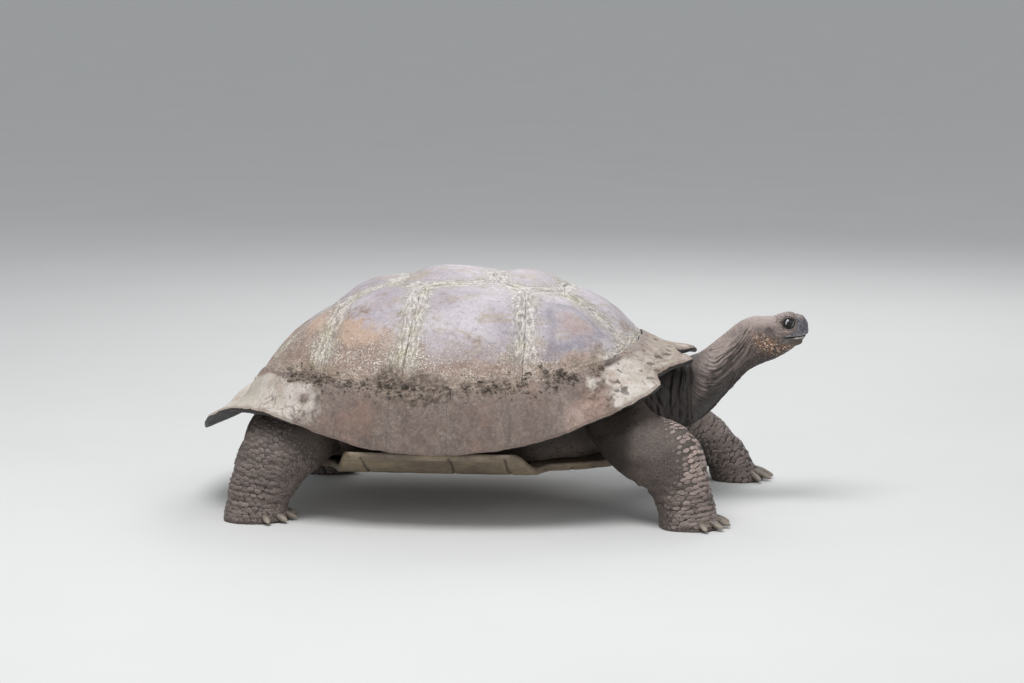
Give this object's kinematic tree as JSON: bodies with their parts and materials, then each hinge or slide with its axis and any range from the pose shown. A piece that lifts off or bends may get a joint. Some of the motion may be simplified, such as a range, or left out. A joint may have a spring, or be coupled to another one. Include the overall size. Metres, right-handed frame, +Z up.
{
  "type": "giant tortoise",
  "caption": "Life-size still model of an adult giant tortoise, standing with its neck raised forward, with a domed shell of separate plates.",
  "frame": {"origin": "on the ground under the middle of the whole length, from the rear rim of the shell to the snout, in the middle plane", "axes": "+X forward to the snout, +Y to the animal's left, +Z up"},
  "size_m": [1.3307, 0.81, 0.5167],
  "materials": {
    "shell_keratin": "worn grey-brown horn with pale lichen and dried mud",
    "marginal_keratin": "brown-mauve horn, scuffed, with pale mud on the flares",
    "plastron_keratin": "worn yellow-brown horn",
    "skin": "dry wrinkled skin with horny scales",
    "head_skin": "dry fine-scaled skin",
    "beak": "slate-grey horn",
    "eye": "wet dark eye"
  },
  "bodies": {
    "root": {"costal_left_1": "shell_keratin", "costal_left_2": "shell_keratin", "costal_left_3": "shell_keratin", "costal_left_4": "shell_keratin", "costal_right_1": "shell_keratin", "costal_right_2": "shell_keratin", "costal_right_3": "shell_keratin", "costal_right_4": "shell_keratin", "eye_left": "eye", "eye_right": "eye", "foreleg_left_foot": "skin", "foreleg_left_lower": "skin", "foreleg_left_upper": "skin", "foreleg_right_foot": "skin", "foreleg_right_lower": "skin", "foreleg_right_upper": "skin", "head": "head_skin", "hind_leg_left_foot": "skin", "hind_leg_left_lower": "skin", "hind_leg_left_upper": "skin", "hind_leg_right_foot": "skin", "hind_leg_right_lower": "skin", "hind_leg_right_upper": "skin", "lower_jaw": "beak", "marginal_left_1": "marginal_keratin", "marginal_left_10": "marginal_keratin", "marginal_left_11": "marginal_keratin", "marginal_left_2": "marginal_keratin", "marginal_left_3": "marginal_keratin", "marginal_left_4": "marginal_keratin", "marginal_left_5": "marginal_keratin", "marginal_left_6": "marginal_keratin", "marginal_left_7": "marginal_keratin", "marginal_left_8": "marginal_keratin", "marginal_left_9": "marginal_keratin", "marginal_right_1": "marginal_keratin", "marginal_right_10": "marginal_keratin", "marginal_right_11": "marginal_keratin", "marginal_right_2": "marginal_keratin", "marginal_right_3": "marginal_keratin", "marginal_right_4": "marginal_keratin", "marginal_right_5": "marginal_keratin", "marginal_right_6": "marginal_keratin", "marginal_right_7": "marginal_keratin", "marginal_right_8": "marginal_keratin", "marginal_right_9": "marginal_keratin", "neck": "skin", "plastron": "plastron_keratin", "supracaudal": "marginal_keratin", "tail": "skin", "trunk": "skin", "vertebral_1": "shell_keratin", "vertebral_2": "shell_keratin", "vertebral_3": "shell_keratin", "vertebral_4": "shell_keratin", "vertebral_5": "shell_keratin"}
  },
  "joints": []
}
